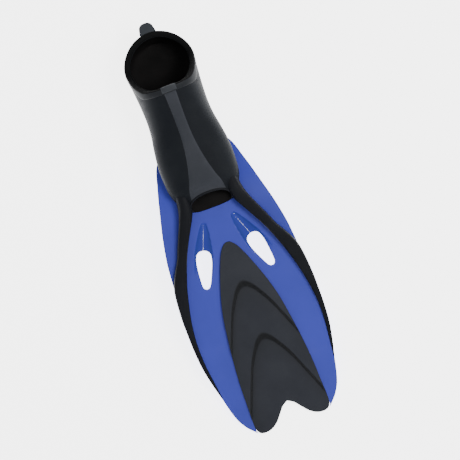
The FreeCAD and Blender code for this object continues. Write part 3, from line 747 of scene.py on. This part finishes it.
bpy.ops.mesh.select_all(action="SELECT")
bpy.ops.mesh.normals_make_consistent(inside=False)
bpy.ops.object.mode_set(mode="OBJECT")
apply_modifier(tab, "BEVEL", width=0.0011, segments=4, limit_method="ANGLE", angle_limit=math.radians(50))
settle(tab, lambda point: foot_frame @ point)
tab_rubber = moulded("tab_rubber", (0.032, 0.038, 0.047), (0.040, 0.046, 0.055), (0.5, 0.62),
                     grain=1300.0, patches=40.0, bump=0.2, specular=0.25)
hand_in(tab, "heel_tab", "tab_rubber", tab_rubber, angle=60.0)

badge_columns, badge_rows = 17, 11
badge_station, badge_half, badge_reach = -0.1622, 0.0112, 0.0042
badge_proud, badge_fall = 0.0023, 0.0012      # its face above the pocket, and how far its edges fall


def badge_point(column, row):
    across = 2 * column / (badge_columns - 1) - 1
    along = 2 * row / (badge_rows - 1) - 1
    proud = badge_proud - badge_fall * max(abs(across) ** 14, abs(along) ** 8)
    return top_skin(across * badge_half, badge_station + along * badge_reach, proud)


badge = add_grid("collar_badge_moulding", badge_columns, badge_rows, badge_point)
settle(badge, lambda point: foot_frame @ point)
apply_modifier(badge, "SOLIDIFY", thickness=0.0010, offset=-1.0, use_rim=True)
badge_rubber = moulded("badge_rubber", (0.030, 0.034, 0.041), (0.037, 0.042, 0.050), (0.40, 0.52),
                       grain=1300.0, patches=60.0, bump=0.15, specular=0.3)
hand_in(badge, "collar_badge", "badge_rubber", badge_rubber, angle=50.0)

# ---------------------------------------------------------------- outsole
# The sole is a harder rubber under the foot plate, with cross grooves, and a flat pad under the heel.
sole_low = -0.0035
sole_bite = 0.0015
sole_end = -0.0270
sole_inset = 0.0004      # the sole stands in from the pocket's outline by this
sole_heel_half, sole_heel_round, sole_heel_run = 0.0430, 0.0448, 0.0451
pad_length, pad_ramp = 0.034, 0.008
pad_front = -foot_length + pad_length
groove_pitch, groove_depth, groove_wall = 0.011, 0.0016, 0.0006
sole_half = reader([(heel_centre, sole_heel_half), (-0.170, 0.0405), (-0.140, 0.0390),
                    (-0.099, 0.0430), (-0.058, 0.0470), (sole_end, 0.0440)])
sole_rows = [(-foot_length + sole_inset + sole_heel_run * (1 - math.cos(math.pi / 2 * step / 14)), 0.0)
             for step in range(14)]
groove_start = pad_front + 0.014
sole_rows += [(station, 0.0) for station in spread((heel_centre + sole_inset, groove_start, 10))]
while groove_start < sole_end - 0.018:
    for ahead, depth in ((groove_wall, groove_depth), (0.0030, groove_depth), (0.0036, 0.0)):
        sole_rows.append((groove_start + ahead, depth))
    sole_rows.append((groove_start + 0.0108, 0.0))
    groove_start += groove_pitch
sole_rows.append((sole_end, 0.0))
sole_columns = 25


def sole_point(column, row):
    station, groove = sole_rows[row]
    share = 2 * column / (sole_columns - 1) - 1
    if station < heel_centre:
        half = sole_heel_half * math.sqrt(max(1 - ((heel_centre - station) / sole_heel_round) ** 2, 0.0))
    else:
        half = sole_half(station)
    low = sole_low
    if station < pad_front:
        low = -heel_drop - (station + foot_length) * math.tan(sole_slope)
    elif station < pad_front + pad_ramp:
        low = -heel_drop - pad_length * math.tan(sole_slope)
        low += (sole_low - low) * (station - pad_front) / pad_ramp
    return Vector((share * half, station, low + groove))


sole = add_grid("outsole_moulding", sole_columns, len(sole_rows), sole_point)
thicken(sole, lambda x, y: section_at(y, 0.0)[1] + sole_bite)
close_mesh(sole, open_ends=False)
apply_modifier(sole, "BEVEL", width=0.0008, segments=2, limit_method="ANGLE", angle_limit=math.radians(60))
settle(sole, lambda point: foot_frame @ point)
sole_rubber = moulded("sole_rubber", (0.006, 0.007, 0.008), (0.009, 0.010, 0.011), (0.6, 0.75),
                      grain=1000.0, patches=30.0, bump=0.3, specular=0.35)
hand_in(sole, "outsole", "sole_rubber", sole_rubber, angle=45.0)

# ---------------------------------------------------------------- the studio
# A pale floor lit from within like a light table, soft lights overhead and a camera that looks straight
# down on the fin from far above.
view_centre = Vector((-0.0101, 0.0154, 0.0))
view_height = 6.0
across_view = Vector((-0.935, 0.3545, 0.0)).normalized()
up_view = Vector((-0.3545, -0.935, 0.0)).normalized()
camera_data = bpy.data.cameras.new("studio_camera")
camera_data.lens = 331.7
camera_data.sensor_width = 36.0
camera = bpy.data.objects.new("studio_camera", camera_data)
bpy.context.scene.collection.objects.link(camera)
turned = Matrix((across_view, up_view, Vector((0, 0, 1)))).transposed()
camera.matrix_world = Matrix.Translation(view_centre + Vector((0, 0, view_height))) @ turned.to_4x4()
bpy.context.scene.camera = camera

bpy.ops.object.select_all(action="DESELECT")
bpy.ops.mesh.primitive_plane_add(size=8.0, location=(0, 0, 0))
floor = bpy.context.object
floor.name = "studio_floor"
paper = bpy.data.materials.new("pale_paper")
paper.use_nodes = True
paper_shader = paper.node_tree.nodes["Principled BSDF"]
paper_shader.inputs["Base Color"].default_value = (0.95, 0.95, 0.95, 1)
paper_shader.inputs["Roughness"].default_value = 0.9
paper_shader.inputs["Emission Color"].default_value = (1, 1, 1, 1)
paper_shader.inputs["Emission Strength"].default_value = 4.2
floor.data.materials.append(paper)


def softbox(name, place, aim, size, watts):
    light = bpy.data.lights.new(name, "AREA")
    light.shape = "RECTANGLE"
    light.size = size[0]
    light.size_y = size[1]
    light.energy = watts
    lamp = bpy.data.objects.new(name, light)
    bpy.context.scene.collection.objects.link(lamp)
    lamp.location = place
    lamp.rotation_euler = (Vector(aim) - Vector(place)).to_track_quat("-Z", "Y").to_euler()


softbox("key_softbox", (-0.9, -0.1, 1.9), (0, 0, 0), (0.7, 0.7), 24)
softbox("highlight_softbox", (0.0, 0.92, 1.82), (0, 0, 0.04), (0.16, 0.16), 2.4)
softbox("fill_softbox", (1.4, -0.6, 1.8), (0, 0, 0), (2.0, 2.0), 5)
world = bpy.data.worlds.new("studio_air")
world.use_nodes = True
world.node_tree.nodes["Background"].inputs["Color"].default_value = (1, 1, 1, 1)
world.node_tree.nodes["Background"].inputs["Strength"].default_value = 0.40
bpy.context.scene.world = world
